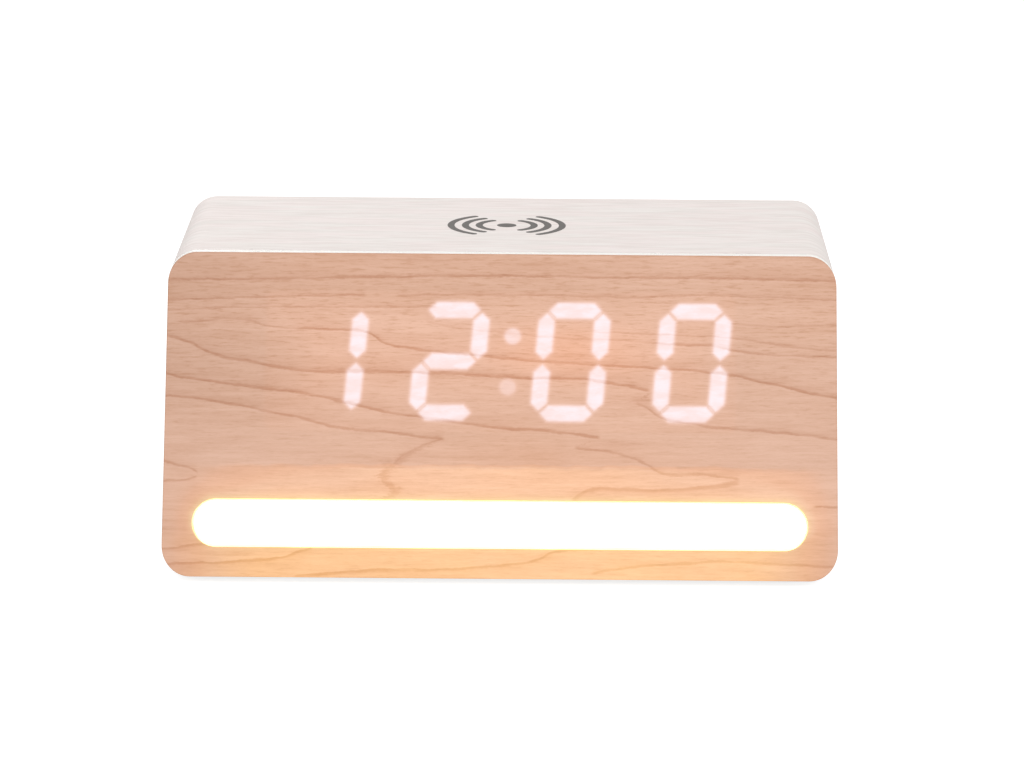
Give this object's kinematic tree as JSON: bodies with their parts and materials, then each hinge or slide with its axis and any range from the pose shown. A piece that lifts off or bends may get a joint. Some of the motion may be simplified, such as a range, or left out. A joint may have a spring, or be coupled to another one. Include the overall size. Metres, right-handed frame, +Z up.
{
  "type": "digital alarm clock",
  "caption": "Desk clock with a slanted wood-film front, digits that glow through it, a light bar below, rear push buttons and a coil under the top that charges a phone.",
  "frame": {"origin": "on the desk, at the middle of the base rectangle", "axes": "+X along the width, to the right seen from the front; +Y from the front to the rear; +Z up"},
  "size_m": [0.15, 0.1, 0.0685],
  "materials": {
    "white_grain_film": "white wood-grain film, satin",
    "cherry_veneer": "thin cherry wood film, satin",
    "clear_acrylic": "milky acrylic",
    "opal_diffuser": "opal, lit from behind",
    "window_film": "matt diffusing film",
    "reflector_plastic": "white moulded",
    "white_plastic": "white moulded",
    "rear_plastic": "fine spark texture",
    "button_plastic": "satin",
    "black_plastic": "black moulded",
    "circuit_board": "green solder resist",
    "lamp_board": "white solder resist",
    "ribbon": "flat flexible cable",
    "lead_sleeve": "black sleeve",
    "cell_steel": "plated steel",
    "contact_metal": "plated spring strip",
    "port_steel": "plated shell",
    "screw_steel": "zinc plated",
    "coil_copper": null,
    "ferrite": "matt sintered sheet",
    "foot_rubber": "matt"
  },
  "bodies": {
    "case": {"housing": "white_grain_film", "rear_cover": "rear_plastic", "front_veneer": "cherry_veneer", "front_panel": "clear_acrylic", "light_bar_diffuser": "opal_diffuser", "light_tray": "white_plastic", "light_board": "lamp_board", "window_film": "window_film", "display_reflector": "reflector_plastic", "display_board": "circuit_board", "main_board": "circuit_board", "charger_board": "circuit_board", "display_ribbon": "ribbon", "light_lead": "lead_sleeve", "power_lead": "lead_sleeve", "sounder": "black_plastic", "coin_cell": "cell_steel", "battery_contact_negative": "contact_metal", "battery_contact_positive": "contact_metal", "usb_shell": "port_steel", "usb_tongue": "black_plastic", "charging_coil": "coil_copper", "ferrite_sheet": "ferrite", "coil_carrier": "white_plastic", "foot_1": "foot_rubber", "rear_screw_1": "screw_steel", "display_screw_1": "screw_steel", "board_screw_1": "screw_steel", "foot_2": "foot_rubber", "rear_screw_2": "screw_steel", "display_screw_2": "screw_steel", "board_screw_2": "screw_steel", "foot_3": "foot_rubber", "rear_screw_3": "screw_steel", "display_screw_3": "screw_steel", "board_screw_3": "screw_steel", "foot_4": "foot_rubber", "rear_screw_4": "screw_steel", "display_screw_4": "screw_steel", "board_screw_4": "screw_steel", "charger_screw_1": "screw_steel", "carrier_screw_1": "screw_steel", "charger_screw_2": "screw_steel", "carrier_screw_2": "screw_steel", "switch_body_set": "black_plastic", "switch_body_up": "black_plastic", "switch_body_down": "black_plastic", "switch_body_light": "black_plastic"},
    "set_button": {"button_set": "button_plastic", "switch_plunger_set": "black_plastic"},
    "up_button": {"button_up": "button_plastic", "switch_plunger_up": "black_plastic"},
    "down_button": {"button_down": "button_plastic", "switch_plunger_down": "black_plastic"},
    "light_button": {"button_light": "button_plastic", "switch_plunger_light": "black_plastic"},
    "door": {"battery_door": "rear_plastic"}
  },
  "joints": [
    {"name": "set_press", "type": "slide", "parent": "case", "child": "set_button", "axis": [0, -1, 0], "range_m": [0, 0.0005], "stiffness_N_per_m": 2500},
    {"name": "up_press", "type": "slide", "parent": "case", "child": "up_button", "axis": [0, -1, 0], "range_m": [0, 0.0005], "stiffness_N_per_m": 2500},
    {"name": "down_press", "type": "slide", "parent": "case", "child": "down_button", "axis": [0, -1, 0], "range_m": [0, 0.0005], "stiffness_N_per_m": 2500},
    {"name": "light_press", "type": "slide", "parent": "case", "child": "light_button", "axis": [0, -1, 0], "range_m": [0, 0.0005], "stiffness_N_per_m": 2500},
    {"name": "door_twist", "type": "hinge", "parent": "case", "child": "door", "pos_m": [0.042, 0.0488, 0.036], "axis": [0, 1, 0], "range_deg": [0, 45]}
  ]
}
